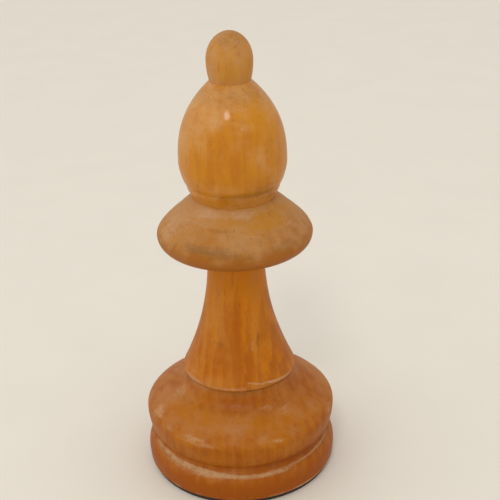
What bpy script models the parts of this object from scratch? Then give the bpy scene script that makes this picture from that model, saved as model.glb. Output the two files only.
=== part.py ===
"""Turned wooden chess bishop, built in glued sections as the real one is: a weighted base with a felt pad,
a flared stem whose long upper tenon carries the bored collar and the head, and a pegged finial.
Metres, Z up, felt underside at Z = 0, turning axis on Z."""
import math

import bmesh
import bpy
from mathutils import Vector, geometry

# Sizes shared by all the pieces
BASE_R = 0.0150
GLUE = 0.00015
TENON_BEVEL = 0.0003
SEGMENTS = 48
SHARP_ANGLE = math.radians(32.0)

# Felt pad under the base
FELT_THICK = 0.0005
FELT_INSET = 0.0004

# Base: rounded foot ring, groove, low dome and the cove under the stem
BASE_H = 0.01545
FOOT_EDGE_R = BASE_R - 0.00012
FOOT_EDGE_ROUND = 0.00035
FOOT_WIDEST_H = 0.00185
FOOT_SHOULDER_H = 0.00245
FOOT_SHOULDER_RUN = 0.0015
GROOVE_DEPTH = 0.00165
DOME_LIP_R = BASE_R - 0.00125
DOME_LIP_H = 0.0056
DOME_LIP_LEAD = (0.00065, 0.0002)
DOME_R = BASE_R - 0.00013
DOME_WIDEST_H = 0.0092
DOME_ROUND_BELOW = 0.0018
DOME_ROUND_ABOVE = 0.0009
DOME_SLOPE = (0.0023, -0.0010)
COVE_R = 0.0103
COVE_H = 0.01275
COVE_SLOPE = (-0.0010, 0.0003)
COVE_DROP = 0.0016
NECK_R = 0.00855

# Iron weight in the base and the wooden plug that shuts it in
WEIGHT_BORE_R = 0.0090
WEIGHT_BORE_DEPTH = 0.0084
PLUG_THICK = 0.0020

# Stem: flared column with a thin lip at the foot and a tenon at each end
STEM_H = 0.01995
STEM_LIP_R = 0.00875
STEM_LIP_H = 0.0005
STEM_LIP_BEVEL = 0.00025
STEM_TOP_R = 0.00427
STEM_FLARE = 2.15
FOOT_TENON_R = 0.0038
FOOT_TENON_L = 0.0048
TOP_TENON_R = 0.0025

# Collar: lens-shaped disc bored through for the stem's tenon
COLLAR_R = 0.01162
COLLAR_H = 0.0085
COLLAR_RIM_H = 0.0029
COLLAR_ROUND_ABOVE = 0.0010
COLLAR_SHOULDER = (-0.0018, 0.0025)
COLLAR_ROUND_BELOW = 0.0021
COLLAR_UNDERSIDE_R = 0.0093

# Head: smooth mitre without a slit
HEAD_R = 0.00789
HEAD_H = 0.01705
HEAD_SEAT_R = 0.0061
HEAD_TOP_R = 0.00295
HEAD_WIDEST_H = 0.0052
HEAD_BELOW = 1.55
HEAD_ABOVE = 2.58
HEAD_SOCKET_DEPTH = 0.0062

# Finial: small egg with a peg
FINIAL_R = 0.00331
FINIAL_H = 0.00672
FINIAL_WIDEST_H = 0.00268
PEG_R = 0.00115
PEG_L = 0.0038

# Wood, iron and felt as they look: colour, roughness, metallic
FINISHES = {
    "base_wood": ((0.352, 0.112, 0.015, 1.0), 0.42, 0.0),
    "stem_wood": ((0.418, 0.138, 0.016, 1.0), 0.40, 0.0),
    "collar_wood": ((0.456, 0.205, 0.063, 1.0), 0.48, 0.0),
    "head_wood": ((0.521, 0.209, 0.042, 1.0), 0.38, 0.0),
    "finial_wood": ((0.451, 0.191, 0.052, 1.0), 0.45, 0.0),
    "weight_iron": ((0.130, 0.125, 0.120, 1.0), 0.55, 1.0),
    "plug_wood": ((0.520, 0.340, 0.180, 1.0), 0.70, 0.0),
    "felt_green": ((0.020, 0.080, 0.035, 1.0), 0.95, 0.0),
}


def sweep(start, out, into, end, count):
    """Points (radius, height) of one Bezier stretch, its handles given as offsets from the two ends."""
    corners = (start, (start[0] + out[0], start[1] + out[1]), (end[0] + into[0], end[1] + into[1]), end)
    knots = [Vector((r, 0.0, z)) for r, z in corners]
    return [(p.x, p.z) for p in geometry.interpolate_bezier(*knots, count)]


def arc(centre, radius, height, first, last, count):
    """Points of an elliptical stretch, angles in degrees from the outward direction."""
    turns = [math.radians(first + (last - first) * i / (count - 1)) for i in range(count)]
    return [(centre[0] + radius * math.cos(a), centre[1] + height * math.sin(a)) for a in turns]


def swell(first_radius, last_radius, height, power, count):
    """Radii that go from one value to the other as a power of the way along, with heights 0 to height."""
    steps = [i / (count - 1) for i in range(count)]
    return [(first_radius + (last_radius - first_radius) * t ** power, height * t) for t in steps]


def spigot_up(radius, foot, tip):
    """Bevelled end that points up, from the axis out and down to its foot."""
    return [(0.0, tip), (radius - TENON_BEVEL, tip), (radius, tip - TENON_BEVEL), (radius, foot)]


def spigot_down(radius, foot, tip):
    """Bevelled end that points down, from its foot down and in to the axis."""
    return [(radius, foot), (radius, tip + TENON_BEVEL), (radius - TENON_BEVEL, tip), (0.0, tip)]


def turned(name, outline, finish, parent, height, ring=False):
    """One piece turned about Z from an outline of (radius, height) points, set on its parent at a height."""
    mesh = bpy.data.meshes.new(name)
    bm = bmesh.new()
    corners = [bm.verts.new((r, 0.0, z)) for r, z in outline]
    edges = [bm.edges.new(pair) for pair in zip(corners, corners[1:])]
    if ring:
        edges.append(bm.edges.new((corners[-1], corners[0])))
    bmesh.ops.spin(bm, geom=corners + edges, cent=(0.0, 0.0, 0.0), axis=(0.0, 0.0, 1.0),
                   angle=2.0 * math.pi, steps=SEGMENTS, use_merge=True)
    bmesh.ops.remove_doubles(bm, verts=bm.verts, dist=1e-7)
    bmesh.ops.recalc_face_normals(bm, faces=bm.faces)
    bm.to_mesh(mesh)
    bm.free()
    mesh.shade_smooth()
    mesh.set_sharp_from_angle(angle=SHARP_ANGLE)
    colour, roughness, metallic = FINISHES[finish]
    material = bpy.data.materials.new(finish)
    material.use_nodes = True
    shader = material.node_tree.nodes["Principled BSDF"]
    shader.inputs["Base Color"].default_value = colour
    shader.inputs["Roughness"].default_value = roughness
    shader.inputs["Metallic"].default_value = metallic
    mesh.materials.append(material)
    piece = bpy.data.objects.new(name, mesh)
    bpy.context.scene.collection.objects.link(piece)
    piece.parent = parent
    piece.location.z = height
    return piece


for leftover in list(bpy.data.objects):
    bpy.data.objects.remove(leftover)

# Base, standing on the felt: stem socket above, weight bore below
socket_r = FOOT_TENON_R + GLUE
socket_floor = BASE_H - FOOT_TENON_L - GLUE
groove_r = BASE_R - GROOVE_DEPTH
ledge = (BASE_R - FOOT_SHOULDER_RUN, FOOT_WIDEST_H + FOOT_SHOULDER_H)
dome_lip = (DOME_LIP_R, DOME_LIP_H)
dome_widest = (DOME_R, DOME_WIDEST_H)
base_outline = [(0.0, socket_floor), (socket_r, socket_floor), (socket_r, BASE_H)]
base_outline += sweep((NECK_R, BASE_H), (0.0, -COVE_DROP), COVE_SLOPE, (COVE_R, COVE_H), 7)
base_outline += sweep((COVE_R, COVE_H), DOME_SLOPE, (0.0, DOME_ROUND_ABOVE), dome_widest, 11)[1:]
base_outline += sweep(dome_widest, (0.0, -DOME_ROUND_BELOW), DOME_LIP_LEAD, dome_lip, 7)[1:]
base_outline += [(groove_r, (dome_lip[1] + ledge[1]) / 2.0)]
base_outline += arc((ledge[0], FOOT_WIDEST_H), FOOT_SHOULDER_RUN, FOOT_SHOULDER_H, 90.0, 0.0, 8)
base_outline += arc((FOOT_EDGE_R - FOOT_EDGE_ROUND, FOOT_EDGE_ROUND), FOOT_EDGE_ROUND, FOOT_EDGE_ROUND,
                    0.0, -90.0, 4)
base_outline += [(WEIGHT_BORE_R, 0.0), (WEIGHT_BORE_R, WEIGHT_BORE_DEPTH), (0.0, WEIGHT_BORE_DEPTH)]
base = turned("base", base_outline, "base_wood", None, FELT_THICK + GLUE)

# Felt pad glued to the underside, trimmed just inside the foot
felt_r = FOOT_EDGE_R - FELT_INSET
felt_outline = [(0.0, FELT_THICK), (felt_r, FELT_THICK), (felt_r, 0.0), (0.0, 0.0)]
turned("felt_pad", felt_outline, "felt_green", base, -FELT_THICK - GLUE)

# Iron slug bedded in the bore, and the plug that closes it flush with the underside
slug_r = WEIGHT_BORE_R - GLUE
slug_h = WEIGHT_BORE_DEPTH - PLUG_THICK - 2.0 * GLUE
slug_outline = spigot_up(slug_r, slug_h / 2.0, slug_h)[:-1] + spigot_down(slug_r, slug_h / 2.0, 0.0)[1:]
turned("iron_weight", slug_outline, "weight_iron", base, PLUG_THICK + GLUE)
plug_outline = spigot_up(slug_r, 0.0, PLUG_THICK) + [(0.0, 0.0)]
turned("weight_plug", plug_outline, "plug_wood", base, 0.0)

# Stem: flare from the shoulder down to the lip, tenons at both ends
tenon_tip = STEM_H + GLUE + COLLAR_H + HEAD_SOCKET_DEPTH
flare = swell(STEM_TOP_R, STEM_LIP_R, STEM_H - STEM_LIP_H, STEM_FLARE, 15)
stem_outline = spigot_up(TOP_TENON_R, STEM_H, tenon_tip)
stem_outline += [(r, STEM_H - z) for r, z in flare]
stem_outline += [(STEM_LIP_R, STEM_LIP_BEVEL), (STEM_LIP_R - STEM_LIP_BEVEL, 0.0)]
stem_outline += spigot_down(FOOT_TENON_R, 0.0, -FOOT_TENON_L)
stem = turned("stem", stem_outline, "stem_wood", base, BASE_H + GLUE)

# Collar: domed above, nearly flat below, bored through and slipped over the tenon
bore_r = TOP_TENON_R + GLUE
rim = (COLLAR_R, COLLAR_RIM_H)
shoulder_lead = (rim[0] + COLLAR_SHOULDER[0] - HEAD_SEAT_R, rim[1] + COLLAR_SHOULDER[1] - COLLAR_H)
underside_lead = (COLLAR_UNDERSIDE_R - STEM_TOP_R, 0.0)
collar_outline = [(bore_r, COLLAR_H)]
collar_outline += sweep((HEAD_SEAT_R, COLLAR_H), shoulder_lead, (0.0, COLLAR_ROUND_ABOVE), rim, 10)
collar_outline += sweep(rim, (0.0, -COLLAR_ROUND_BELOW), underside_lead, (STEM_TOP_R, 0.0), 10)[1:]
collar_outline += [(bore_r, 0.0)]
collar = turned("collar", collar_outline, "collar_wood", stem, STEM_H + GLUE, ring=True)

# Head: seated on the collar, socket below for the stem's tenon and above for the finial's peg
peg_socket_r = PEG_R + GLUE
peg_floor = HEAD_H - PEG_L - GLUE
above = swell(HEAD_R, HEAD_TOP_R, HEAD_H - HEAD_WIDEST_H, HEAD_ABOVE, 17)
below = swell(HEAD_R, HEAD_SEAT_R, HEAD_WIDEST_H, HEAD_BELOW, 9)
head_outline = [(0.0, peg_floor), (peg_socket_r, peg_floor), (peg_socket_r, HEAD_H)]
head_outline += [(r, HEAD_WIDEST_H + z) for r, z in above[::-1]]
head_outline += [(r, HEAD_WIDEST_H - z) for r, z in below[1:]]
head_outline += [(bore_r, 0.0), (bore_r, HEAD_SOCKET_DEPTH), (0.0, HEAD_SOCKET_DEPTH)]
head = turned("head", head_outline, "head_wood", collar, COLLAR_H + GLUE)

# Finial: egg on a flat seat, pegged into the head
crown = arc((0.0, FINIAL_WIDEST_H), FINIAL_R, FINIAL_H - FINIAL_WIDEST_H, 90.0, 0.0, 13)
waist = swell(FINIAL_R, HEAD_TOP_R, FINIAL_WIDEST_H, 2.0, 6)
finial_outline = [(0.0, FINIAL_H)] + crown[1:] + [(r, FINIAL_WIDEST_H - z) for r, z in waist[1:]]
finial_outline += spigot_down(PEG_R, 0.0, -PEG_L)
turned("finial", finial_outline, "finial_wood", head, HEAD_H + GLUE)
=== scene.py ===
import bpy
import numpy as np
from mathutils import Matrix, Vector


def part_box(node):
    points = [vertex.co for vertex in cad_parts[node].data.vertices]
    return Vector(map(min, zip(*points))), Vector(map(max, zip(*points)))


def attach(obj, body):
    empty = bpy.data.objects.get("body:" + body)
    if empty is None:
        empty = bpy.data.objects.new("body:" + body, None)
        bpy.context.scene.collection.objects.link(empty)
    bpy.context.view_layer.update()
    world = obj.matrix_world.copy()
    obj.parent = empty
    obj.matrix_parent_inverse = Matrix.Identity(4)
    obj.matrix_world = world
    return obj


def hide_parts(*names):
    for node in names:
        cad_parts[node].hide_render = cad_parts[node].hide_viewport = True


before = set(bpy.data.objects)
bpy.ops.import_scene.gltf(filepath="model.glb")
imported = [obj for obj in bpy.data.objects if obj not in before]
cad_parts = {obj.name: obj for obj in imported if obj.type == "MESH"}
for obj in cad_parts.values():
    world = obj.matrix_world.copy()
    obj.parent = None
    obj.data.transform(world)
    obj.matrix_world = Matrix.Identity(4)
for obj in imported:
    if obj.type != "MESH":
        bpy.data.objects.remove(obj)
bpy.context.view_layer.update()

# Base: a hardwood blank turned to a foot ring, a groove, a low dome and a cove, stained and varnished.
# The stem's tenon is glued into the socket on top, and the bore below takes the iron weight.
# Handling has rubbed the finish off the foot's shoulder and off the round of the dome. The shoulder's pale
# band also carries a painted highlight, and shade is painted into the groove and under the stem's lip.
JOINT_GAP = 0.00001
TOOL_ERROR = 0.00002
base_low, base_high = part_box("base")
stem_low, stem_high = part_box("stem")
BASE_R = base_high[0]
BASE_FOOT = base_low[2]
BASE_TOP = base_high[2]
BASE_TURNS = 432
NECK_R = 0.00855
SOCKET_R = 0.00395
SOCKET_FLOOR = stem_low[2] - JOINT_GAP
WEIGHT_BORE_R = 0.0090
WEIGHT_BORE_TOP = BASE_FOOT + 0.0084
COVE = (0.0103, BASE_FOOT + 0.01275)
DOME_WIDEST = (BASE_R - 0.00013, BASE_FOOT + 0.0092)
DOME_LIP = (BASE_R - 0.00125, BASE_FOOT + 0.0056)
SHOULDER_RUN = 0.0015
SHOULDER_RISE = 0.00245
SHOULDER_CENTRE = (BASE_R - SHOULDER_RUN, BASE_FOOT + 0.00185)
FOOT_EDGE_R = BASE_R - 0.00012
FOOT_EDGE_ROUND = 0.00035
FOOT_EDGE_CENTRE = (FOOT_EDGE_R - FOOT_EDGE_ROUND, BASE_FOOT + FOOT_EDGE_ROUND)
FOOT_SIDE_H = 0.0022
GROOVE_H = 0.0058
DOME_UNDERSIDE_H = 0.0068


def bend(start, out, into, end, count=60):
    """Outline stretch on a cubic Bezier: out and into are its handles' offsets from its two ends."""
    way = np.linspace(0.0, 1.0, count)[:, None]
    first = np.array(start)
    last = np.array(end)
    rising = 3.0 * (first + out) * way * (1.0 - way) ** 2
    falling = 3.0 * (last + into) * way ** 2 * (1.0 - way)
    return first * (1.0 - way) ** 3 + rising + falling + last * way ** 3


def round_off(centre, across, up, first, last, count=60):
    """Outline stretch on an ellipse about a centre, between two angles in degrees from straight out."""
    turn = np.radians(np.linspace(first, last, count))
    return np.stack([centre[0] + across * np.cos(turn), centre[1] + up * np.sin(turn)], axis=1)


def sanded(stretches, step, soft):
    """Outline as sandpaper leaves it: read at a steady step along its length, then averaged under a bell
    curve of width soft, so that its corners turn round. Mirrored ends keep its two end points in place."""
    rough = np.vstack(stretches)
    run = np.concatenate([[0.0], np.cumsum(np.hypot(*np.diff(rough, axis=0).T))])
    places = np.linspace(0.0, run[-1], int(run[-1] / step) + 1)
    fine = np.stack([np.interp(places, run, rough[:, 0]), np.interp(places, run, rough[:, 1])], axis=1)
    reach = int(4.0 * soft / step) + 1
    ahead = 2.0 * fine[0] - fine[reach:0:-1]
    behind = 2.0 * fine[-1] - fine[-2:-reach - 2:-1]
    bell = np.exp(-0.5 * (np.arange(-reach, reach + 1) * step / soft) ** 2)
    longer = np.vstack([ahead, fine, behind])
    smooth = [np.convolve(column, bell / bell.sum(), mode="valid") for column in longer.T]
    return np.stack(smooth, axis=1)


def edge_of(outline, reach):
    """How far each outline point stands out as an edge: the turn of the outline per length, times reach.
    Positive on outer corners, negative in hollows."""
    along = np.gradient(outline, axis=0)
    heading = np.unwrap(np.arctan2(along[:, 1], along[:, 0]))
    return -np.gradient(heading) / np.hypot(along[:, 0], along[:, 1]) * reach


def round_angles(turns):
    """Even angles once round the axis."""
    return np.arange(turns) * (2.0 * np.pi / turns)


def drift(outline, turns, seed):
    """Small errors of a hand-held tool: six slow waves round the axis that slide with height, each as
    small as its order is high, summed to a field of about one."""
    order = np.array([2.0, 3.0, 4.0, 5.0, 7.0, 9.0])[:, None, None]
    phase = seed * order ** 2
    slide = 700.0 * np.sin(phase)
    waves = np.cos(order * round_angles(turns) + phase + slide * outline[:, 1:])
    return (waves / order).sum(axis=0)


def marks(outline, turns, spots):
    """Soft spots on a turned face, summed. Each is (degrees round, height, half width, half height,
    strength), and fades as a bell of the distance from it round the face and in height. The front is at
    minus 90 degrees."""
    field = np.zeros((len(outline), turns))
    for degrees, level, wide, tall, strength in spots:
        off = (round_angles(turns) - np.radians(degrees) + np.pi) % (2.0 * np.pi) - np.pi
        across = off[None, :] * outline[:, :1] / wide
        upward = (outline[:, 1:] - level) / tall
        field = field + strength * np.exp(-across ** 2 - upward ** 2)
    return field


def belt(outline, level, reach):
    """Soft belt round a turned face: 1 at a height, fading as a bell of the distance from it over reach."""
    return np.exp(-((outline[:, 1:] - level) / reach) ** 2)


def turned(name, above, face, below, swing, fields):
    """Closed body of a (radius, height) outline carried round Z: grid point (i, j) stands at radius i plus
    swing (i, j), at angle j and height i. The outline runs down the outside: hidden points above, the face
    that shows, hidden points below. One that starts on the axis has its end rows drawn into poles, and one
    that starts off the axis joins its last row to its first. The fields, grids too, become attributes."""
    outline = np.vstack([above, face, below])
    rows, turns = len(outline), swing.shape[1]
    hidden = ((len(above), len(below)), (0, 0))
    radius = outline[:, :1] + np.pad(swing, hidden)
    level = np.broadcast_to(outline[:, 1:], radius.shape)
    angle = round_angles(turns)
    points = np.stack([radius * np.cos(angle), radius * np.sin(angle), level], axis=-1)
    ring = outline[0, 0] > 0.0
    index = np.arange(rows * turns).reshape(rows, turns)
    upper = index if ring else index[1:-2]
    lower = np.roll(index, -1, axis=0) if ring else index[2:-1]
    walls = np.stack([upper, lower, np.roll(lower, -1, axis=1), np.roll(upper, -1, axis=1)], axis=-1)
    keep = np.ones(rows * turns, dtype=bool)
    caps = []
    if not ring:
        keep[1:turns] = False
        keep[-turns:-1] = False
        rim = index[1]
        top = np.stack([np.full(turns, index[0, 0]), rim, np.roll(rim, -1)], axis=-1)
        rim = index[-2]
        bottom = np.stack([rim, np.full(turns, index[-1, -1]), np.roll(rim, -1)], axis=-1)
        caps = np.vstack([top, bottom])
    renumber = np.cumsum(keep) - 1
    mesh = bpy.data.meshes.new(name)
    corner_rows = renumber[walls.reshape(-1, 4)].tolist() + [renumber[cap].tolist() for cap in caps]
    mesh.from_pydata(points.reshape(-1, 3)[keep].tolist(), [], corner_rows)
    for label, field in fields.items():
        layer = mesh.attributes.new(label, "FLOAT", "POINT")
        whole = np.pad(field + np.zeros_like(swing), hidden)
        layer.data.foreach_set("value", whole.reshape(-1)[keep].astype(np.float32))
    mesh.shade_smooth()
    mesh.set_sharp_from_angle(angle=np.radians(50.0))
    piece = bpy.data.objects.new(name, mesh)
    bpy.context.scene.collection.objects.link(piece)
    return piece


def paint(red, green, blue):
    """Colour given in 0 to 255 screen numbers, as the linear light that a shader takes: the share of 255
    plus 0.055, over 1.055, to the power 2.4."""
    share = (np.array([red, green, blue]) / 255.0 + 0.055) / 1.055
    return (*(share ** 2.4).tolist(), 1.0)


class Tone:
    """One socket of a material. Operators on it add Math nodes, and node() adds any other node."""

    def __init__(self, tree, socket=None):
        self.tree = tree
        self.socket = socket

    def node(self, kind, settings, inputs, output=0):
        """Adds a node: its settings first, then values or links for its sockets."""
        made = self.tree.nodes.new(kind)
        for key, value in settings.items():
            setattr(made, key, value)
        for key, value in inputs.items():
            self.feed(made.inputs[key], value)
        return Tone(self.tree, made.outputs[output])

    def feed(self, socket, value):
        """Links a tone to a socket, or sets the socket to a plain value."""
        if isinstance(value, Tone):
            self.tree.links.new(value.socket, socket)
        else:
            socket.default_value = value

    def shade(self, looks):
        """Feeds sockets of the material's own shader, by name."""
        shader = self.tree.nodes["Principled BSDF"]
        for name, value in looks.items():
            self.feed(shader.inputs[name], value)

    def math(self, operation, first, second=0.0):
        """A Math node on two numbers."""
        return self.node("ShaderNodeMath", {"operation": operation}, {0: first, 1: second})

    def vector(self, operation, *others, output="Vector"):
        """A Vector Math node on this vector and others."""
        inputs = dict(enumerate((self, *others)))
        return self.node("ShaderNodeVectorMath", {"operation": operation}, inputs, output)

    def length(self):
        """Length of this vector."""
        return self.vector("LENGTH", output="Value")

    def drawn(self, share):
        """This point with only a share of its height, so that a pattern there is drawn out along Z."""
        return self.vector("MULTIPLY", (1.0, 1.0, share))

    def millimetres(self):
        """The surface's own point, in millimetres from the origin."""
        metres = self.node("ShaderNodeTexCoord", {}, {}, "Object")
        return metres.vector("MULTIPLY", (1000.0, 1000.0, 1000.0))

    def field(self, name):
        """A field that the mesh keeps on its points."""
        return self.node("ShaderNodeAttribute", {"attribute_name": name}, {}, "Fac")

    def blend(self, first, second):
        """The first colour where this is 0, the second where it is 1."""
        return self.node("ShaderNodeMix", {"data_type": "RGBA"}, {0: self, 6: first, 7: second}, 2)

    def between(self, low, high):
        """0 below low, 1 above high, eased in between."""
        inputs = {"Value": self, "From Min": low, "From Max": high}
        return self.node("ShaderNodeMapRange", {"interpolation_type": "SMOOTHSTEP"}, inputs)

    def noise(self, scale, detail, output="Fac"):
        """Cloudy noise at this point, with scale waves to a unit and detail finer layers."""
        inputs = {"Vector": self, "Scale": scale, "Detail": detail, "Roughness": 0.55}
        return self.node("ShaderNodeTexNoise", {}, inputs, output)

    def relief(self, strength, depth):
        """The surface's normal, bent by this height times depth in metres."""
        inputs = {"Strength": strength, "Distance": depth, "Height": self}
        return self.node("ShaderNodeBump", {}, inputs, "Normal")

    def __add__(self, other):
        return self.math("ADD", self, other)

    def __radd__(self, other):
        return self.math("ADD", other, self)

    def __sub__(self, other):
        return self.math("SUBTRACT", self, other)

    def __rsub__(self, other):
        return self.math("SUBTRACT", other, self)

    def __mul__(self, other):
        return self.math("MULTIPLY", self, other)

    def __rmul__(self, other):
        return self.math("MULTIPLY", other, self)

    def __truediv__(self, other):
        return self.math("DIVIDE", self, other)

    def __rtruediv__(self, other):
        return self.math("DIVIDE", other, self)


def new_finish(name):
    """A material with its shader, and the tone that its nodes start from."""
    material = bpy.data.materials.new(name)
    material.use_nodes = True
    return material, Tone(material.node_tree)


def varnished_wood(name, blank, run, gloss, amber, deep, haze, bare, fleck):
    """Stained wood under thin varnish, worked out in millimetres. Growth rings are the fraction of the
    distance from the tree's heart, which lies at minus blank, over their width. Fibres, pores and mottle
    are noise drawn out along Z, and a smaller run draws them out more and strengthens the grain. The stain
    goes from deep to amber with the sum of rings, fibres, mottle and the golden field, which also carries
    painted light and painted shade. Burnish is noise drawn out round the lathe's axis, and fray is the
    ragged noise of rubbing. Haze lies where cloud, burnish, mottle and the dulled field add up, and that
    field is lowered as painted shade. Flecks lie in the pores. Chalky bare wood shows where the worn field
    and fray add up, and that also paints highlights. Dark brown lies where the grime field and fray do:
    dirt and painted shade."""
    rings_per_mm = 0.62
    ring_wobble = 1.2
    grain_sway = (3.0, 3.0, 0.0)
    elsewhere = (50.0, 0.0, 0.0)
    lathe_radius = 3.0
    lathe_core = 1.5
    material, start = new_finish(name)
    worn_and_lit, grime_and_shade, dulled_and_shaded, golden_and_lit = map(start.field, ("worn_and_lit", "grime_and_shade", "dulled_and_shaded", "golden_and_lit"))
    spot = start.millimetres()
    place = spot.vector("ADD", blank)
    sway = place.drawn(min(1.0, run * 2.0)).noise(0.09, 2.0, "Color").vector("MULTIPLY", grain_sway)
    path = place.vector("ADD", sway)
    heart = path.drawn(0.02).length()
    growth = heart * rings_per_mm + path.drawn(0.1).noise(0.5, 2.0) * ring_wobble
    year = growth.math("FRACT", growth)
    rings = year.between(0.0, 0.8) - year.between(0.8, 1.0)
    fibres = path.drawn(0.03 + run * 0.15).noise(4.4, 4.0)
    pores = path.drawn(0.10).noise(3.4, 2.0).between(0.60, 0.74)
    mottle = path.drawn(run).noise(0.5, 3.0)
    cloud = path.vector("ADD", elsewhere).drawn(run).noise(0.4, 2.0)
    flat = spot.drawn(0.0)
    reach = flat.length()
    level = spot.node("ShaderNodeSeparateXYZ", {}, {0: spot}, "Z") - reach * 0.6
    upright = level.node("ShaderNodeCombineXYZ", {}, {"Z": level})
    drawn_in = {0: flat, "Scale": lathe_radius / (reach + lathe_core)}
    lathe = flat.node("ShaderNodeVectorMath", {"operation": "SCALE"}, drawn_in).vector("ADD", upright)
    burnish = lathe.noise(0.9, 3.0)
    fray = lathe.noise(1.9, 5.0) * 0.55 + spot.noise(3.6, 4.0) * 0.45
    tool = upright.noise(3.4, 3.0)
    stain = rings * (0.22 - run * 0.16) + fibres * (0.36 - run * 0.2) + mottle * 0.55 + golden_and_lit
    veil = (cloud * 0.8 + burnish * 0.4 + mottle * 0.3 + dulled_and_shaded).between(0.5, 1.2)
    rubbed = (worn_and_lit + fray * 1.4).between(0.95, 1.6)
    chalk = spot.noise(1.3, 5.0).between(0.3, 0.65)
    dirt_and_shade = (grime_and_shade + fray * 0.5).between(0.5, 1.1)
    colour = stain.between(0.22, 0.70).blend(deep, amber)
    colour = veil.blend(colour, haze)
    colour = (pores * 0.5).blend(colour, fleck)
    colour = (rubbed * (0.52 + chalk * 0.44)).blend(colour, bare)
    # Dark brown over the wood: dirt, and painted shade where the grime field carries it.
    colour = (dirt_and_shade * 0.75).blend(colour, paint(88, 58, 28))
    height = fibres * 0.35 + rings * 0.12 + tool * 0.35 + fray * (0.15 + rubbed * 0.4) - pores * 0.4
    start.shade({
        "Base Color": colour,
        "Roughness": 0.4 + veil * 0.08 + rubbed * 0.14 + fibres * 0.1 + dirt_and_shade * 0.1,
        "Specular IOR Level": 0.12,
        "Coat Weight": (1.0 - rubbed * 0.8) * (1.0 - dirt_and_shade * 0.6) * gloss,
        "Coat Roughness": 0.12,
        "Normal": height.relief(0.45, 0.00004),
    })
    return material


foot_shoulder = round_off(SHOULDER_CENTRE, SHOULDER_RUN, SHOULDER_RISE, 67.0, 0.0)
base_face = sanded([
    bend((NECK_R, BASE_TOP), (0.0, -0.0016), (-0.0010, 0.0003), COVE),
    bend(COVE, (0.0023, -0.0010), (0.0, 0.0009), DOME_WIDEST)[1:],
    bend(DOME_WIDEST, (0.0, -0.0018), (0.00065, 0.0002), DOME_LIP)[1:],
    bend(DOME_LIP, (-0.0008, -0.00024), (-0.0008, 0.00056), foot_shoulder[0])[1:],
    foot_shoulder[1:],
    round_off(FOOT_EDGE_CENTRE, FOOT_EDGE_ROUND, FOOT_EDGE_ROUND, 0.0, -90.0, 20),
], step=0.00013, soft=0.00013)
base_edge = edge_of(base_face, reach=0.0005)[:, None]
dome_dents = [
    (-157.0, 0.0111, 0.0012, 0.0007, 0.00009), (-138.0, 0.0107, 0.0016, 0.0006, 0.00006),
    (-116.0, 0.0105, 0.0009, 0.0006, 0.00010), (-78.0, 0.0109, 0.0007, 0.0005, 0.00007),
    (-68.0, 0.0104, 0.0008, 0.0004, 0.00008), (-20.0, 0.0102, 0.0013, 0.0006, 0.00010),
    (35.0, 0.0106, 0.0010, 0.0007, 0.00009), (78.0, 0.0103, 0.0015, 0.0005, 0.00007),
    (131.0, 0.0109, 0.0009, 0.0006, 0.00011),
]
shoulder_dents = [
    (-128.0, 0.0047, 0.0020, 0.0004, 0.00009), (-105.0, 0.0046, 0.0013, 0.0004, 0.00010),
    (-74.0, 0.0046, 0.0010, 0.0004, 0.00008), (-33.0, 0.0047, 0.0014, 0.0004, 0.00009),
    (12.0, 0.0046, 0.0017, 0.0004, 0.00010), (61.0, 0.0047, 0.0011, 0.0004, 0.00008),
    (104.0, 0.0046, 0.0016, 0.0004, 0.00010), (160.0, 0.0047, 0.0012, 0.0004, 0.00009),
]
base_dents = marks(base_face, BASE_TURNS, dome_dents + shoulder_dents)
dome_rubs = [
    (-157.0, 0.0112, 0.0019, 0.0010, 0.62), (-138.0, 0.0108, 0.0020, 0.0008, 0.40),
    (-122.0, 0.0107, 0.0020, 0.0008, 0.48), (-111.0, 0.0103, 0.0020, 0.0006, 0.36),
    (-159.0, 0.0135, 0.0019, 0.0012, 0.50), (-57.0, 0.0125, 0.0024, 0.0006, 0.30),
    (-70.0, 0.0136, 0.0028, 0.0004, 0.42), (-52.0, 0.0131, 0.0018, 0.0005, 0.36),
    (-78.0, 0.0109, 0.0012, 0.0005, 0.46), (-68.0, 0.0105, 0.0013, 0.0005, 0.48),
    (-20.0, 0.0104, 0.0022, 0.0008, 0.46), (35.0, 0.0107, 0.0024, 0.0009, 0.56),
    (50.0, 0.0134, 0.0024, 0.0006, 0.44), (78.0, 0.0104, 0.0028, 0.0007, 0.46),
    (131.0, 0.0110, 0.0020, 0.0009, 0.56), (160.0, 0.0132, 0.0020, 0.0007, 0.46),
]
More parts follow.
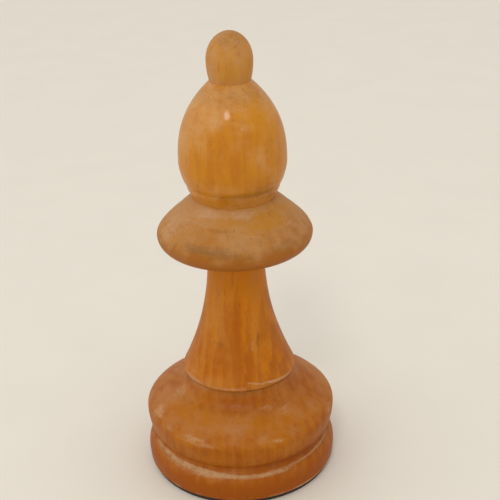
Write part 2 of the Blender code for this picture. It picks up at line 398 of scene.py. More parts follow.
# Pale band round the foot's shoulder: rubbed wood, and a painted highlight.
shoulder_rubs_and_highlight = [
    (-158.0, 0.00494, 0.0026, 0.00024, 0.50), (-155.0, 0.00460, 0.0034, 0.00050, 0.24),
    (-144.0, 0.00502, 0.0020, 0.00024, 0.60), (-139.0, 0.00462, 0.0028, 0.00046, 0.36),
    (-132.0, 0.00494, 0.0016, 0.00024, 0.46), (-125.0, 0.00456, 0.0030, 0.00050, 0.30),
    (-121.0, 0.00500, 0.0022, 0.00024, 0.62), (-114.0, 0.00464, 0.0026, 0.00044, 0.40),
    (-108.0, 0.00486, 0.0022, 0.00024, 0.58), (-103.0, 0.00450, 0.0028, 0.00044, 0.28),
    (-98.0, 0.00478, 0.0016, 0.00020, 0.54), (-84.0, 0.00440, 0.0050, 0.00040, 0.20),
    (-88.0, 0.00470, 0.0014, 0.00018, 0.50), (-77.0, 0.00466, 0.0022, 0.00030, 0.62),
    (-65.0, 0.00472, 0.0020, 0.00026, 0.56), (-52.0, 0.00490, 0.0026, 0.00015, 0.60),
    (-37.0, 0.00490, 0.0030, 0.00015, 0.56), (-19.0, 0.00490, 0.0036, 0.00016, 0.58),
    (14.0, 0.00496, 0.0026, 0.00024, 0.58), (31.0, 0.00474, 0.0022, 0.00034, 0.42),
    (58.0, 0.00490, 0.0030, 0.00022, 0.56), (81.0, 0.00470, 0.0018, 0.00026, 0.46),
    (103.0, 0.00500, 0.0026, 0.00026, 0.60), (124.0, 0.00478, 0.0024, 0.00034, 0.48),
    (147.0, 0.00496, 0.0026, 0.00020, 0.50), (172.0, 0.00488, 0.0030, 0.00028, 0.58),
]
foot_edge_rubs = [
    (-148.0, 0.0012, 0.0014, 0.00028, 0.46), (-133.0, 0.0011, 0.0010, 0.00026, 0.50),
    (-118.0, 0.0012, 0.0008, 0.00030, 0.46), (-97.0, 0.0011, 0.0012, 0.00024, 0.40),
    (-70.0, 0.0011, 0.0022, 0.00026, 0.46), (-55.0, 0.0011, 0.0026, 0.00026, 0.54),
    (-42.0, 0.0011, 0.0024, 0.00026, 0.54), (-28.0, 0.0012, 0.0020, 0.00028, 0.46),
    (5.0, 0.0011, 0.0020, 0.00026, 0.50), (47.0, 0.0012, 0.0026, 0.00026, 0.48),
    (88.0, 0.0011, 0.0016, 0.00028, 0.52), (119.0, 0.0012, 0.0024, 0.00026, 0.48),
    (158.0, 0.0011, 0.0018, 0.00026, 0.50),
]
base_worn_and_lit = marks(base_face, BASE_TURNS, dome_rubs + shoulder_rubs_and_highlight + foot_edge_rubs)
base_worn_and_lit = base_worn_and_lit + 0.25 * np.clip(base_edge, 0.0, 1.0)
# Dirt and painted shade. Shade is painted into the right of the groove and taken out of its lit left. It is
# also painted into the hollows, under the stem's lip, along the groove, and along the bottom edge where the
# foot meets the board.
base_grime_and_shade = marks(base_face, BASE_TURNS, [
    (-76.0, 0.0100, 0.0022, 0.0008, 0.20), (-30.0, 0.0062, 0.0050, 0.0008, 0.14),
    (-140.0, 0.0058, 0.0060, 0.0008, -0.16), (70.0, 0.0064, 0.0050, 0.0008, 0.26),
    (-22.0, 0.0140, 0.0052, 0.0010, 0.22), (100.0, 0.0140, 0.0052, 0.0010, 0.20),
    (-94.0, 0.0158, 0.0032, 0.0008, 0.15),
])
base_grime_and_shade = base_grime_and_shade + 0.2 * np.clip(-base_edge, 0.0, 1.0) + 0.34 * belt(base_face, BASE_TOP, 0.0011)
base_grime_and_shade = base_grime_and_shade + 0.26 * belt(base_face, BASE_FOOT, 0.0008)
base_grime_and_shade = base_grime_and_shade + 0.11 * belt(base_face, GROOVE_H, 0.0008)
base_dulled_and_shaded = marks(base_face, BASE_TURNS, [
    (-165.0, 0.0118, 0.0050, 0.0018, 0.16), (-125.0, 0.0112, 0.0050, 0.0010, 0.08),
    (-90.0, 0.0122, 0.0022, 0.0008, 0.10), (-92.0, 0.0096, 0.0060, 0.0010, -0.14),
    (-97.0, 0.0144, 0.0042, 0.0008, -0.22), (-128.0, 0.0100, 0.0036, 0.0009, -0.12),
    (-38.0, 0.0092, 0.0060, 0.0016, -0.14), (-102.0, 0.0129, 0.0024, 0.0008, 0.14),
    (-159.0, 0.0135, 0.0028, 0.0012, 0.20), (2.0, 0.0138, 0.0030, 0.0010, -0.34),
    (20.0, 0.0118, 0.0050, 0.0015, 0.10), (80.0, 0.0125, 0.0050, 0.0015, -0.08),
    (140.0, 0.0115, 0.0050, 0.0015, 0.10), (-123.0, 0.0157, 0.0018, 0.0008, 0.12),
    (-140.0, 0.0159, 0.0020, 0.0004, 0.25),
])
base_dulled_and_shaded = base_dulled_and_shaded - 0.04 + 0.10 * belt(base_face, BASE_TOP, 0.0010)
base_dulled_and_shaded = base_dulled_and_shaded - 0.30 * belt(base_face, FOOT_SIDE_H, 0.0018)
# Less haze on the dome's underside above the groove: painted shade.
base_dulled_and_shaded = base_dulled_and_shaded - 0.25 * belt(base_face, DOME_UNDERSIDE_H, 0.0014)
# Stain tone, and at minus 42 degrees a painted shadow that makes the right of the groove deep and dark.
base_golden_and_shaded = marks(base_face, BASE_TURNS, [
    (-127.0, 0.0101, 0.0030, 0.0010, 0.22), (-72.0, 0.0122, 0.0034, 0.0010, 0.16),
    (-140.0, 0.0128, 0.0034, 0.0010, 0.24), (-103.0, 0.0092, 0.0050, 0.0009, -0.06),
    (-116.0, 0.0124, 0.0026, 0.0008, 0.16), (-72.0, 0.0106, 0.0032, 0.0007, 0.18),
    (-101.0, 0.0127, 0.0026, 0.0009, 0.30), (-57.0, 0.0124, 0.0026, 0.0008, 0.16),
    (-94.0, 0.0137, 0.0026, 0.0007, -0.16), (-22.0, 0.0138, 0.0050, 0.0010, -0.06),
    (-42.0, 0.0060, 0.0080, 0.0009, -0.44), (-98.0, 0.0144, 0.0040, 0.0010, -0.14),
    (-60.0, 0.0088, 0.0050, 0.0008, 0.14), (-40.0, 0.0118, 0.0036, 0.0010, 0.14),
    (10.0, 0.0112, 0.0040, 0.0012, 0.16), (60.0, 0.0090, 0.0050, 0.0012, -0.20),
    (110.0, 0.0118, 0.0040, 0.0012, 0.16), (165.0, 0.0092, 0.0050, 0.0012, -0.20),
    (-123.0, 0.0153, 0.0018, 0.0010, 0.16),
])
base_golden_and_shaded = base_golden_and_shaded - 0.30 * belt(base_face, FOOT_SIDE_H - 0.0002, 0.0020)
base_piece = turned(
    "base_turning",
    above=[(0.0, SOCKET_FLOOR), (SOCKET_R, SOCKET_FLOOR), (SOCKET_R, BASE_TOP)],
    face=base_face,
    below=[(WEIGHT_BORE_R, BASE_FOOT), (WEIGHT_BORE_R, WEIGHT_BORE_TOP), (0.0, WEIGHT_BORE_TOP)],
    swing=drift(base_face, BASE_TURNS, 1.7) * TOOL_ERROR - base_dents,
    fields={"worn_and_lit": base_worn_and_lit, "grime_and_shade": base_grime_and_shade, "dulled_and_shaded": base_dulled_and_shaded, "golden_and_lit": base_golden_and_shaded},
)
base_piece.data.materials.append(varnished_wood(
    "base_orange_stain", blank=(31.0, 12.0, 5.0), run=0.6, gloss=0.03,
    amber=paint(172, 100, 6), deep=paint(152, 76, 2), haze=paint(172, 112, 60),
    bare=paint(187, 147, 104), fleck=paint(128, 62, 8),
))
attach(base_piece, "root")
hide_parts("base")

# Iron weight: a plain cast slug bedded in the base's bore, so that the tall piece stands firm.
# It is out of sight behind the plug, dark grey with a film of rust in its hollows.
iron, iron_start = new_finish("cast_iron")
casting = iron_start.millimetres()
scale_marks = casting.noise(2.4, 5.0)
rust = casting.noise(0.5, 4.0).between(0.52, 0.7)
iron_start.shade({
    "Base Color": (rust * 0.6).blend(paint(92, 90, 88), paint(98, 62, 40)),
    "Metallic": 1.0 - rust * 0.7,
    "Roughness": 0.45 + scale_marks * 0.2 + rust * 0.2,
    "Normal": scale_marks.relief(0.6, 0.0001),
})
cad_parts["iron_weight"].material_slots[0].material = iron

# Plug: a sawn disc of the same wood, left bare, pressed over the weight flush with the base's underside.
# The felt hides it.
bare_wood, plug_start = new_finish("plug_bare_wood")
saw_lines = plug_start.millimetres().vector("MULTIPLY", (0.1, 1.0, 0.2)).noise(3.0, 3.0)
plug_start.shade({
    "Base Color": saw_lines.between(0.35, 0.65).blend(paint(176, 134, 86), paint(206, 170, 122)),
    "Roughness": 0.65 + saw_lines * 0.2,
    "Normal": saw_lines.relief(0.5, 0.00006),
})
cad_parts["weight_plug"].material_slots[0].material = bare_wood

# Felt pad: a disc of dense green wool felt, cut with a punch and glued under the base inside its edge.
# Its rim is fuzzy and a little uneven, and its underside is pressed flat by the board.
felt_low, felt_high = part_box("felt_pad")
FELT_R = felt_high[0]
FELT_TOP = BASE_FOOT - JOINT_GAP
FELT_FOOT = felt_low[2]
FELT_CORE_R = 0.0005
FELT_BULGE = 0.00004
FELT_PRESSED = 0.0001
FELT_TURNS = 320
FUZZ = 0.00003
felt_rim = sanded([[
    (FELT_CORE_R, FELT_TOP), (FELT_R, FELT_TOP), (FELT_R + FELT_BULGE, FELT_TOP * 0.5),
    (FELT_R, FELT_FOOT), (FELT_R - FELT_PRESSED, FELT_FOOT), (FELT_CORE_R, FELT_FOOT),
]], step=0.0002, soft=0.00006)
rim_share = np.clip(felt_rim[:, :1] / FELT_R, 0.0, 1.0) ** 24
hair_ends = np.cos(97.0 * round_angles(FELT_TURNS) + 9000.0 * felt_rim[:, 1:])
fuzz = drift(felt_rim, FELT_TURNS, 0.9) + 0.6 * hair_ends - 1.2
felt_piece = turned(
    "felt_disc",
    above=[(0.0, FELT_TOP)],
    face=felt_rim,
    below=[(0.0, FELT_FOOT)],
    swing=fuzz * FUZZ * rim_share,
    fields={"grime_and_shade": rim_share},
)
felt, felt_start = new_finish("green_wool_felt")
wool = felt_start.millimetres()
tangle = wool.vector("ADD", wool.noise(1.4, 2.0, "Color").vector("MULTIPLY", (3.0, 3.0, 1.0)))
hairs = tangle.noise(4.0, 4.0)
clumps = wool.noise(0.7, 4.0)
felt_colour = (hairs * 0.7 + clumps * 0.3).between(0.35, 0.65).blend(paint(22, 38, 28), paint(40, 62, 44))
# The fuzzy rim is painted dark brown: painted contact shadow where the pad meets the board.
rim_painted_shadow = felt_start.field("grime_and_shade").between(0.2, 0.9)
felt_start.shade({
    "Base Color": (rim_painted_shadow * 0.8).blend(felt_colour, paint(46, 30, 18)),
    "Roughness": 0.86 + hairs * 0.12,
    "Sheen Weight": 0.1,
    "Normal": hairs.relief(0.9, 0.00012),
})
felt_piece.data.materials.append(felt)
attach(felt_piece, "root")
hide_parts("felt_pad")

# Stem: a column turned in one piece with its two tenons, flared to a thin lip over the base's neck.
# The lip is rubbed through to pale wood, with a painted highlight along its edge, and a long flake has
# broken out of it at the front right.
STEM_TURNS = 300
STEM_FOOT = BASE_TOP + JOINT_GAP
STEM_TOP_R = 0.00427
STEM_LIP_R = 0.00875
STEM_FLARE = 2.15
TOP_TENON_R = 0.0025
FOOT_TENON_R = 0.0038
TENON_BEVEL = 0.0003
collar_low, collar_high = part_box("collar")
STEM_SHOULDER = collar_low[2] - JOINT_GAP
LIP_TOP = BASE_TOP + 0.00065
LIP_BEVEL_RUN = 0.0002
LIP_BEVEL_RISE = 0.00022
FLAKE_START = -84.5
FLAKE_END = -34.0
FLAKE_RISE = 0.000716
FLAKE_SLOPE = 0.00002
FLAKE_RIPPLE = 0.00005
FLAKE_DEPTH = 0.00012
NIBBLE_DEPTH = 0.00006
STEM_WAIST_H = 0.0340
STEM_SKIRT_H = 0.0310


def swell(first, last, power, count):
    """Outline stretch between two points: its height goes evenly, its radius as a power of the way."""
    way = np.linspace(0.0, 1.0, count)[:, None]
    return np.array(first) + (np.array(last) - np.array(first)) * np.hstack([way ** power, way])


def ramp_down(outline, level, reach):
    """Share of the way down a face: 0 above a height, rising evenly to 1 at reach below it."""
    return np.clip((level - outline[:, 1:]) / reach, 0.0, 1.0)


stem_face = sanded([
    swell((STEM_TOP_R, STEM_SHOULDER), (STEM_LIP_R, LIP_TOP), STEM_FLARE, 90),
    [(STEM_LIP_R, STEM_FOOT + LIP_BEVEL_RISE), (STEM_LIP_R - LIP_BEVEL_RUN, STEM_FOOT)],
], step=0.00013, soft=0.00007)
stem_round = np.degrees(round_angles(STEM_TURNS)) - 360.0 * (round_angles(STEM_TURNS) > np.pi)
flake_run = stem_round - FLAKE_START
flake_share = np.clip(flake_run / 2.5, 0.0, 1.0) * np.clip((FLAKE_END - stem_round) / 9.0, 0.0, 1.0)
flake_top = LIP_TOP + FLAKE_RISE - FLAKE_SLOPE * flake_run + FLAKE_RIPPLE * np.cos(0.31 * stem_round)
flake = flake_share * ramp_down(stem_face, flake_top, 0.0003)
flake_rim = flake_share * belt(stem_face, flake_top + 0.00004, 0.00018)
# The pale lip line: rubbed wood, and a painted highlight on the lip's edge.
lip_share = belt(stem_face, LIP_TOP - 0.00020, 0.00048)
lip_soft_highlight = belt(stem_face, LIP_TOP + 0.00030, 0.00090)
lip_rub = 0.58 + 0.18 * np.cos(7.0 * (round_angles(STEM_TURNS) + np.radians(97.0)))
nibbles = drift(stem_face, STEM_TURNS, 5.3) + 0.5 * np.cos(23.0 * round_angles(STEM_TURNS)) - 0.2
stem_chips = FLAKE_DEPTH * flake + NIBBLE_DEPTH * np.clip(nibbles, 0.0, 1.5) * lip_share
stem_worn_and_lit = marks(stem_face, STEM_TURNS, [
    (-71.0, 0.0225, 0.0005, 0.0016, 0.52), (150.0, 0.0300, 0.0006, 0.0014, 0.48),
    (-95.0, 0.01625, 0.0019, 0.00026, -0.40), (-97.0, 0.01660, 0.0016, 0.00050, -0.14),
])
stem_worn_and_lit = stem_worn_and_lit + (lip_share + 0.1 * lip_soft_highlight) * lip_rub * (1.0 - 0.6 * flake) + 0.70 * flake_rim
stem_grime = marks(stem_face, STEM_TURNS, [
    (-115.0, 0.0228, 0.0011, 0.0008, 0.52), (-63.0, 0.0227, 0.0005, 0.0012, 0.52),
    (-59.0, 0.0240, 0.0004, 0.0008, 0.48), (40.0, 0.0260, 0.0010, 0.0009, 0.50),
    (-96.0, 0.01615, 0.0022, 0.00026, 0.58),
])
stem_grime = stem_grime + 0.34 * flake * (1.0 - flake_rim)
stem_dulled = marks(stem_face, STEM_TURNS, [
    (-145.0, 0.0260, 0.0026, 0.0080, 0.20), (-118.0, 0.0250, 0.0016, 0.0070, 0.14),
    (-90.0, 0.0260, 0.0014, 0.0120, -0.14), (-68.0, 0.0240, 0.0008, 0.0060, 0.06),
    (-133.0, 0.0174, 0.0034, 0.0009, 0.24), (60.0, 0.0174, 0.0040, 0.0009, 0.20),
    (30.0, 0.0250, 0.0020, 0.0080, 0.10), (110.0, 0.0280, 0.0020, 0.0080, 0.08),
])
stem_dulled = stem_dulled - 0.10 + 0.30 * flake
stem_golden_and_lit = marks(stem_face, STEM_TURNS, [
    (-95.0, 0.0205, 0.0026, 0.0026, -0.12), (-72.0, 0.0282, 0.0012, 0.0050, 0.05),
    (-130.0, 0.0260, 0.0030, 0.0100, 0.08), (-62.0, 0.0260, 0.0022, 0.0100, 0.04),
    (-103.0, 0.0250, 0.0016, 0.0036, -0.16), (-45.0, 0.0250, 0.0016, 0.0060, 0.06),
    (-62.0, 0.0205, 0.0020, 0.0024, 0.12), (-97.0, 0.0300, 0.0012, 0.0040, -0.12),
    (60.0, 0.0200, 0.0030, 0.0030, -0.14), (120.0, 0.0270, 0.0020, 0.0060, 0.14),
])
# Painted light: the top of the stem is painted more amber against the shade under the collar. Lower down
# the stain is made deeper towards the bottom.
stem_golden_and_lit = stem_golden_and_lit + 0.40 * (1.0 - ramp_down(stem_face, STEM_WAIST_H, 0.0050))
stem_golden_and_lit = stem_golden_and_lit - 0.20 * ramp_down(stem_face, STEM_SKIRT_H, 0.0080)
stem_piece = turned(
    "stem_turning",
    above=[(0.0, stem_high[2]), (TOP_TENON_R - TENON_BEVEL, stem_high[2]),
           (TOP_TENON_R, stem_high[2] - TENON_BEVEL), (TOP_TENON_R, STEM_SHOULDER)],
    face=stem_face,
    below=[(FOOT_TENON_R, STEM_FOOT), (FOOT_TENON_R, stem_low[2] + TENON_BEVEL),
           (FOOT_TENON_R - TENON_BEVEL, stem_low[2]), (0.0, stem_low[2])],
    swing=drift(stem_face, STEM_TURNS, 2.9) * TOOL_ERROR - stem_chips,
    fields={"worn_and_lit": stem_worn_and_lit, "grime_and_shade": stem_grime, "dulled_and_shaded": stem_dulled, "golden_and_lit": stem_golden_and_lit},
)
stem_piece.data.materials.append(varnished_wood(
    "stem_orange_stain", blank=(44.0, -9.0, 2.0), run=0.16, gloss=0.03,
    amber=paint(194, 114, 4), deep=paint(166, 88, 2), haze=paint(184, 118, 46),
    bare=paint(190, 142, 100), fleck=paint(150, 79, 8),
))
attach(stem_piece, "root")
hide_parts("stem")

# Collar: a lens-shaped disc, bored through and slipped over the stem's long tenon under the head.
# It is the part that fingers hold, so its stain is rubbed pale and dull and dirt lies along its rim. Shade
# is painted on its underside and right end, and a lighter ring is painted beside the head's seat.
head_low, head_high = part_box("head")
COLLAR_TURNS = 384
COLLAR_R = collar_high[0]
COLLAR_FOOT = collar_low[2]
COLLAR_TOP = head_low[2] - JOINT_GAP
COLLAR_BORE_R = 0.00265
COLLAR_RIM = (COLLAR_R, COLLAR_FOOT + 0.0029)
COLLAR_SHOULDER_RUN = 0.0018
COLLAR_SHOULDER_RISE = 0.0025
COLLAR_UNDERSIDE_R = 0.0093
COLLAR_UNDERSIDE_H = 0.0406
COLLAR_RING_H = COLLAR_FOOT + 0.00635
COLLAR_RING_DEPTH = 0.00007
HEAD_SEAT_R = 0.0061
shoulder_lead = (COLLAR_RIM[0] - COLLAR_SHOULDER_RUN - HEAD_SEAT_R,
                 COLLAR_RIM[1] + COLLAR_SHOULDER_RISE - COLLAR_TOP)
underside_lead = (COLLAR_UNDERSIDE_R - STEM_TOP_R, 0.0)
collar_face = sanded([
    bend((HEAD_SEAT_R, COLLAR_TOP), shoulder_lead, (0.0, 0.0010), COLLAR_RIM),
    bend(COLLAR_RIM, (0.0, -0.0021), underside_lead, (STEM_TOP_R, COLLAR_FOOT))[1:],
], step=0.00013, soft=0.00008)
collar_ring = belt(collar_face, COLLAR_RING_H, 0.00030)
collar_face[:, 1:] = collar_face[:, 1:] - COLLAR_RING_DEPTH * collar_ring
collar_dents = marks(collar_face, COLLAR_TURNS, [
    (-150.0, 0.0395, 0.0012, 0.0006, 0.00007), (-100.0, 0.0397, 0.0010, 0.0005, 0.00006),
    (-52.0, 0.0394, 0.0014, 0.0006, 0.00008), (8.0, 0.0396, 0.0011, 0.0006, 0.00007),
    (66.0, 0.0395, 0.0013, 0.0005, 0.00008), (120.0, 0.0397, 0.0012, 0.0006, 0.00007),
])
collar_worn_and_lit = marks(collar_face, COLLAR_TURNS, [
    (-118.0, 0.0443, 0.0024, 0.0007, 0.46), (-78.0, 0.0441, 0.0018, 0.0006, 0.44),
    (-155.0, 0.0420, 0.0032, 0.0014, 0.46), (-74.0, 0.0420, 0.0023, 0.0008, 0.46),
    (-158.0, 0.0404, 0.0032, 0.0010, 0.40), (-32.0, 0.0428, 0.0034, 0.0012, 0.22),
    (-178.0, 0.0422, 0.0036, 0.0018, 0.36), (-8.0, 0.0416, 0.0038, 0.0018, 0.36),
    (-134.0, 0.0434, 0.0030, 0.0010, 0.30), (-46.0, 0.0418, 0.0030, 0.0010, 0.24),
    (100.0, 0.0425, 0.0032, 0.0014, 0.44), (30.0, 0.0430, 0.0026, 0.0010, 0.40),
])
# A paler ring next to the head's seat: painted light against the shade of the head's overhang.
collar_worn_and_lit = collar_worn_and_lit + 0.30 * belt(collar_face, COLLAR_TOP - 0.0005, 0.0007)
# Dirt along the rim; at minus 38 and minus 50 degrees, toward the right end, also painted shade.
collar_grime_and_shade = marks(collar_face, COLLAR_TURNS, [
    (-128.0, 0.0404, 0.0036, 0.0009, 0.34), (-104.0, 0.0407, 0.0044, 0.0009, 0.38),
    (-104.0, 0.0427, 0.0036, 0.0004, 0.30), (-50.0, 0.0402, 0.0052, 0.0012, 0.30),
    (-92.0, 0.0396, 0.0052, 0.0009, 0.38), (-38.0, 0.0408, 0.0060, 0.0020, 0.14),
    (60.0, 0.0402, 0.0040, 0.0009, 0.40), (160.0, 0.0401, 0.0040, 0.0009, 0.38),
])
collar_grime_and_shade = collar_grime_and_shade + 0.05 * belt(collar_face, COLLAR_TOP, 0.0005) + 0.12 * collar_ring
collar_grime_and_shade = collar_grime_and_shade + 0.25 * belt(collar_face, COLLAR_FOOT, 0.0006)
collar_dulled_and_shaded = marks(collar_face, COLLAR_TURNS, [
    (-56.0, 0.0427, 0.0020, 0.0008, -0.22), (-50.0, 0.0442, 0.0026, 0.0008, -0.10),
    (-118.0, 0.0425, 0.0030, 0.0006, -0.12), (-150.0, 0.0430, 0.0040, 0.0020, 0.12),
    (-85.0, 0.0412, 0.0030, 0.0010, 0.08), (40.0, 0.0425, 0.0030, 0.0012, -0.20),
    (130.0, 0.0430, 0.0030, 0.0010, -0.16), (-32.0, 0.0431, 0.0030, 0.0012, -0.08),
])
# Less haze on the underside: painted shade.
collar_dulled_and_shaded = collar_dulled_and_shaded + 0.10 - 0.46 * ramp_down(collar_face, COLLAR_UNDERSIDE_H, 0.0030)
# Stain tone. At minus 36 degrees, painted shade on the right end. Painted light in the ring below the seat,
# and painted shade on the underside.
collar_golden_and_lit = marks(collar_face, COLLAR_TURNS, [
    (-56.0, 0.0427, 0.0022, 0.0009, 0.22), (-80.0, 0.0424, 0.0024, 0.0007, 0.14),
    (40.0, 0.0425, 0.0030, 0.0012, 0.22), (130.0, 0.0430, 0.0030, 0.0010, 0.22),
    (-36.0, 0.0406, 0.0050, 0.0020, -0.20), (-32.0, 0.0431, 0.0030, 0.0012, 0.16),
])
collar_golden_and_lit = collar_golden_and_lit + 0.16 * belt(collar_face, COLLAR_TOP - 0.0010, 0.0012)
collar_golden_and_lit = collar_golden_and_lit - 0.36 * ramp_down(collar_face, COLLAR_UNDERSIDE_H, 0.0022)
collar_piece = turned(
    "collar_turning",
    above=[(COLLAR_BORE_R, COLLAR_TOP)],
    face=collar_face,
    below=[(COLLAR_BORE_R, COLLAR_FOOT)],
    swing=drift(collar_face, COLLAR_TURNS, 3.7) * TOOL_ERROR - collar_dents,
    fields={"worn_and_lit": collar_worn_and_lit, "grime_and_shade": collar_grime_and_shade, "dulled_and_shaded": collar_dulled_and_shaded, "golden_and_lit": collar_golden_and_lit},
)
collar_piece.data.materials.append(varnished_wood(
    "collar_rubbed_stain", blank=(27.0, 22.0, -7.0), run=0.7, gloss=0.03,
    amber=paint(180, 117, 22), deep=paint(158, 94, 28), haze=paint(176, 127, 76),
    bare=paint(187, 143, 103), fleck=paint(128, 80, 30),
))
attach(collar_piece, "root")
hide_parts("collar")

# Head: a smooth egg-shaped mitre with no slit, seated on the collar and glued over the stem's long tenon.
# Its varnish is the best kept of the piece and takes a small clear highlight.
HEAD_TURNS = 320
HEAD_R = head_high[0]
HEAD_FOOT = head_low[2]
HEAD_TOP = head_high[2]
HEAD_TOP_R = 0.00295
HEAD_WIDEST = (HEAD_R, HEAD_FOOT + 0.0052)
HEAD_TAPER = 2.58
HEAD_TUCK = 1.55
HEAD_BELLY_H = 0.0550
HEAD_RING_H = HEAD_FOOT + 0.00205
HEAD_RING_DEPTH = 0.00009
TENON_SOCKET_TOP = HEAD_FOOT + 0.0062
PEG_SOCKET_R = 0.0013
PEG_SOCKET_FLOOR = HEAD_TOP - 0.00395
head_face = sanded([
    swell(HEAD_WIDEST, (HEAD_TOP_R, HEAD_TOP), HEAD_TAPER, 80)[::-1],
    swell(HEAD_WIDEST, (HEAD_SEAT_R, HEAD_FOOT), HEAD_TUCK, 40)[1:],
], step=0.00014, soft=0.00012)
head_ring = belt(head_face, HEAD_RING_H, 0.00042)
head_face[:, :1] = head_face[:, :1] - HEAD_RING_DEPTH * head_ring
# Light wear. The strong mark at minus 76 degrees is a painted glint, a faint second highlight.
head_worn_and_glint = marks(head_face, HEAD_TURNS, [
    (-140.0, 0.0575, 0.0030, 0.0022, 0.16), (-76.0, 0.0570, 0.0010, 0.0008, 0.44),
    (60.0, 0.0570, 0.0030, 0.0020, 0.18),
])
# Dirt at the seat. Painted shade on the downward-facing foot, on the lower right at minus 58 degrees and on
# the right edge at minus 34 degrees.
head_grime_and_shade = marks(head_face, HEAD_TURNS, [
    (-100.0, 0.0471, 0.0030, 0.0011, 0.25), (-88.0, 0.0456, 0.0018, 0.0003, 0.10),
    (-40.0, 0.0462, 0.0024, 0.0005, 0.08), (60.0, 0.0460, 0.0030, 0.0005, 0.22),
    (-58.0, 0.0480, 0.0040, 0.0017, 0.42), (-34.0, 0.0530, 0.0020, 0.0044, 0.20),
    (140.0, 0.0484, 0.0040, 0.0018, 0.26),
])
head_grime_and_shade = head_grime_and_shade + 0.31 * belt(head_face, HEAD_FOOT + 0.0004, 0.0016) + 0.12 * head_ring
head_grime_and_shade = head_grime_and_shade + 0.42 * belt(head_face, HEAD_TOP - 0.0014, 0.0028)
# Haze marks. The one at minus 76 degrees pales the painted glint.
head_dulled_and_shaded = marks(head_face, HEAD_TURNS, [
    (-138.0, 0.0580, 0.0040, 0.0030, 0.22), (-168.0, 0.0530, 0.0030, 0.0040, 0.10),
    (-104.0, 0.0552, 0.0024, 0.0016, -0.22), (-62.0, 0.0532, 0.0016, 0.0020, 0.14),
    (-110.0, 0.0484, 0.0036, 0.0010, 0.22), (-76.0, 0.0570, 0.0014, 0.0010, 0.16),
    (-42.0, 0.0545, 0.0020, 0.0020, 0.08), (-46.0, 0.0582, 0.0022, 0.0020, -0.16),
    (-97.0, 0.0564, 0.0024, 0.0012, -0.04), (-63.0, 0.0553, 0.0016, 0.0012, -0.12),
    (-111.0, 0.0514, 0.0010, 0.0020, -0.12), (-87.0, 0.0516, 0.0010, 0.0018, -0.12),
    (50.0, 0.0550, 0.0036, 0.0036, 0.12), (110.0, 0.0540, 0.0030, 0.0030, -0.12),
    (0.0, 0.0550, 0.0030, 0.0040, -0.08),
])
head_dulled_and_shaded = head_dulled_and_shaded + 0.14 * belt(head_face, HEAD_TOP, 0.0026)
head_dulled_and_shaded = head_dulled_and_shaded + 0.22 * belt(head_face, HEAD_FOOT, 0.0022)
# Less haze below the belly: painted shade on the lower head.
head_dulled_and_shaded = head_dulled_and_shaded - 0.05 - 0.14 * ramp_down(head_face, HEAD_BELLY_H, 0.0040)
head_golden = marks(head_face, HEAD_TURNS, [
    (-46.0, 0.0582, 0.0026, 0.0022, 0.30), (-92.0, 0.0540, 0.0030, 0.0030, -0.06),
    (-114.0, 0.0514, 0.0008, 0.0022, -0.22), (-87.0, 0.0517, 0.0008, 0.0020, -0.22),
    (110.0, 0.0570, 0.0030, 0.0024, 0.24), (60.0, 0.0520, 0.0012, 0.0024, -0.20),
])
head_piece = turned(
    "head_turning",
    above=[(0.0, PEG_SOCKET_FLOOR), (PEG_SOCKET_R, PEG_SOCKET_FLOOR), (PEG_SOCKET_R, HEAD_TOP)],
    face=head_face,
    below=[(COLLAR_BORE_R, HEAD_FOOT), (COLLAR_BORE_R, TENON_SOCKET_TOP), (0.0, TENON_SOCKET_TOP)],
    swing=drift(head_face, HEAD_TURNS, 4.1) * TOOL_ERROR,
    fields={"worn_and_lit": head_worn_and_glint, "grime_and_shade": head_grime_and_shade, "dulled_and_shaded": head_dulled_and_shaded, "golden_and_lit": head_golden},
)
head_piece.data.materials.append(varnished_wood(
    "head_honey_stain", blank=(38.0, 3.0, 11.0), run=0.55, gloss=0.32,
    amber=paint(196, 126, 8), deep=paint(184, 110, 6), haze=paint(198, 144, 84),
    bare=paint(206, 160, 118), fleck=paint(156, 92, 14),
))
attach(head_piece, "root")
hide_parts("head")

# Finial: a small turned egg with a peg, glued into the top of the head.
# Its crown is rubbed dull and a little grey.
finial_low, finial_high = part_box("finial")
FINIAL_TURNS = 208
FINIAL_R = finial_high[0]
FINIAL_SEAT = HEAD_TOP + JOINT_GAP
FINIAL_WIDEST = (FINIAL_R, HEAD_TOP + 0.00283)
FINIAL_TOP = finial_high[2]
FINIAL_TUCK = 2.0
FINIAL_POLE_R = 0.001
FINIAL_ERROR = 0.000012
PEG_R = 0.00115
PEG_END = finial_low[2]
finial_face = sanded([
    round_off((0.0, FINIAL_WIDEST[1]), FINIAL_R, FINIAL_TOP - FINIAL_WIDEST[1], 88.0, 0.0, 80),
    swell(FINIAL_WIDEST, (HEAD_TOP_R, FINIAL_SEAT), FINIAL_TUCK, 30)[1:],
], step=0.00011, soft=0.00008)
off_axis = np.clip(finial_face[:, :1] / FINIAL_POLE_R, 0.0, 1.0)
finial_worn = marks(finial_face, FINIAL_TURNS, [
    (-125.0, 0.0683, 0.0016, 0.0010, 0.22), (60.0, 0.0675, 0.0014, 0.0010, 0.22),
])
finial_grime = marks(finial_face, FINIAL_TURNS, [
    (-92.0, 0.0671, 0.0024, 0.0012, 0.13), (70.0, 0.0668, 0.0026, 0.0014, 0.12),
])
finial_grime = finial_grime + 0.16 * belt(finial_face, FINIAL_SEAT, 0.0005)
finial_grime = finial_grime + 0.44 * belt(finial_face, FINIAL_TOP, 0.0026)
finial_dulled = marks(finial_face, FINIAL_TURNS, [
    (-140.0, 0.0660, 0.0020, 0.0020, 0.02), (-60.0, 0.0668, 0.0018, 0.0014, 0.16),
    (-70.0, 0.0636, 0.0022, 0.0012, -0.14), (60.0, 0.0655, 0.0020, 0.0020, 0.10),
])
finial_dulled = finial_dulled + 0.10 * belt(finial_face, FINIAL_TOP, 0.0018)
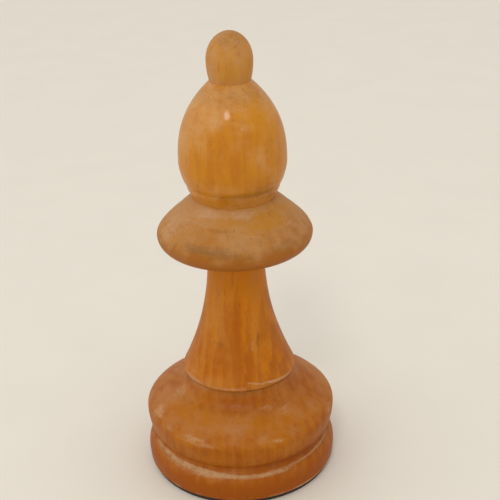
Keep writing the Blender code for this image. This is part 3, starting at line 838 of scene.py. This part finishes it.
finial_golden = marks(finial_face, FINIAL_TURNS, [
    (-55.0, 0.0645, 0.0018, 0.0016, 0.16), (110.0, 0.0650, 0.0018, 0.0016, 0.16),
])
finial_piece = turned(
    "finial_turning",
    above=[(0.0, FINIAL_TOP)],
    face=finial_face,
    below=[(PEG_R, FINIAL_SEAT), (PEG_R, PEG_END + TENON_BEVEL),
           (PEG_R - TENON_BEVEL, PEG_END), (0.0, PEG_END)],
    swing=drift(finial_face, FINIAL_TURNS, 6.1) * FINIAL_ERROR * off_axis,
    fields={"worn_and_lit": finial_worn, "grime_and_shade": finial_grime, "dulled_and_shaded": finial_dulled, "golden_and_lit": finial_golden},
)
finial_piece.data.materials.append(varnished_wood(
    "finial_brown_stain", blank=(35.0, 17.0, 23.0), run=0.4, gloss=0.03,
    amber=paint(190, 130, 46), deep=paint(178, 117, 46), haze=paint(192, 140, 92),
    bare=paint(202, 158, 118), fleck=paint(150, 96, 40),
))
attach(finial_piece, "root")
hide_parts("finial")

# Floor, light and camera: a plain pale floor under an even pale surround, brighter high on the left.
# One small round lamp at the front left gives the head its highlight.
# The camera stands close by and looks a little down.
FLOOR_HALF = 3.0
floor_mesh = bpy.data.meshes.new("floor")
corners = [(-FLOOR_HALF, -FLOOR_HALF, 0.0), (FLOOR_HALF, -FLOOR_HALF, 0.0),
           (FLOOR_HALF, FLOOR_HALF, 0.0), (-FLOOR_HALF, FLOOR_HALF, 0.0)]
floor_mesh.from_pydata(corners, [], [(0, 1, 2, 3)])
floor = bpy.data.objects.new("floor", floor_mesh)
bpy.context.scene.collection.objects.link(floor)
pale_floor, floor_start = new_finish("pale_floor")
surface = floor_start.node("ShaderNodeTexCoord", {}, {}, "Object").noise(60.0, 4.0)
floor_start.shade({
    "Base Color": surface.blend(paint(222, 214, 200), paint(228, 220, 206)),
    "Roughness": 0.7,
})
floor_mesh.materials.append(pale_floor)


def stand(thing, place, right, upward, backward):
    """Puts a lamp or a camera into the scene at a place, with the directions of its three axes."""
    axes = Matrix(np.stack([right, upward, backward], axis=1)).to_4x4()
    thing.matrix_world = Matrix.Translation(place) @ axes
    bpy.context.scene.collection.objects.link(thing)


LAMP_PLACE = (-0.10, -0.40, 0.49)
LAMP_AIM = (0.0, 0.0, 0.0586)
lamp = bpy.data.lights.new("front_left_lamp", "AREA")
lamp.shape = "ELLIPSE"
lamp.size = 0.14
lamp.size_y = 0.11
lamp.energy = 0.60
lamp_back = np.array(LAMP_PLACE) - np.array(LAMP_AIM)
lamp_back = lamp_back / np.linalg.norm(lamp_back)
lamp_right = np.cross((0.0, 0.0, 1.0), lamp_back)
lamp_right = lamp_right / np.linalg.norm(lamp_right)
lamp_up = np.cross(lamp_back, lamp_right)
stand(bpy.data.objects.new("front_left_lamp", lamp), LAMP_PLACE, lamp_right, lamp_up, lamp_back)

LIGHT_FROM = (-0.68, 0.08, 0.72)
DIM_SIDE = (0.75, 0.735, 0.73, 1.0)
BRIGHT_SIDE = (1.07, 1.085, 1.08, 1.0)
world = bpy.data.worlds.new("surround")
bpy.context.scene.world = world
world.use_nodes = True
world_start = Tone(world.node_tree)
outward = world_start.node("ShaderNodeTexCoord", {}, {}, "Generated")
bright = outward.vector("DOT_PRODUCT", LIGHT_FROM, output="Value").between(-0.3, 1.0)
seen = world_start.node("ShaderNodeLightPath", {}, {}, "Is Camera Ray")
mirrored = world_start.node("ShaderNodeLightPath", {}, {}, "Is Glossy Ray")
through = world_start.node("ShaderNodeLightPath", {}, {}, "Is Transmission Ray")
backdrop = seen.math("MAXIMUM", seen, mirrored.math("MAXIMUM", mirrored, through))
surround_colour = backdrop.blend(bright.blend(DIM_SIDE, BRIGHT_SIDE), paint(236, 228, 216))
world_start.feed(world.node_tree.nodes["Background"].inputs["Color"], surround_colour)

CAMERA_PLACE = (0.0, -0.1367, 0.09894)
yaw, pitch, roll = np.radians([0.905, 24.80, 1.496])
forward = np.array([np.sin(yaw) * np.cos(pitch), np.cos(yaw) * np.cos(pitch), -np.sin(pitch)])
level_right = np.array([np.cos(yaw), -np.sin(yaw), 0.0])
level_down = np.cross(forward, level_right)
camera_right = np.cos(roll) * level_right + np.sin(roll) * level_down
camera_down = np.cos(roll) * level_down - np.sin(roll) * level_right
camera_data = bpy.data.cameras.new("camera")
camera_data.lens = 72.0
camera_data.sensor_width = 36.0
camera_data.clip_start = 0.005
camera = bpy.data.objects.new("camera", camera_data)
stand(camera, CAMERA_PLACE, camera_right, -camera_down, -forward)
bpy.context.scene.camera = camera
bpy.context.scene.view_settings.view_transform = "Standard"
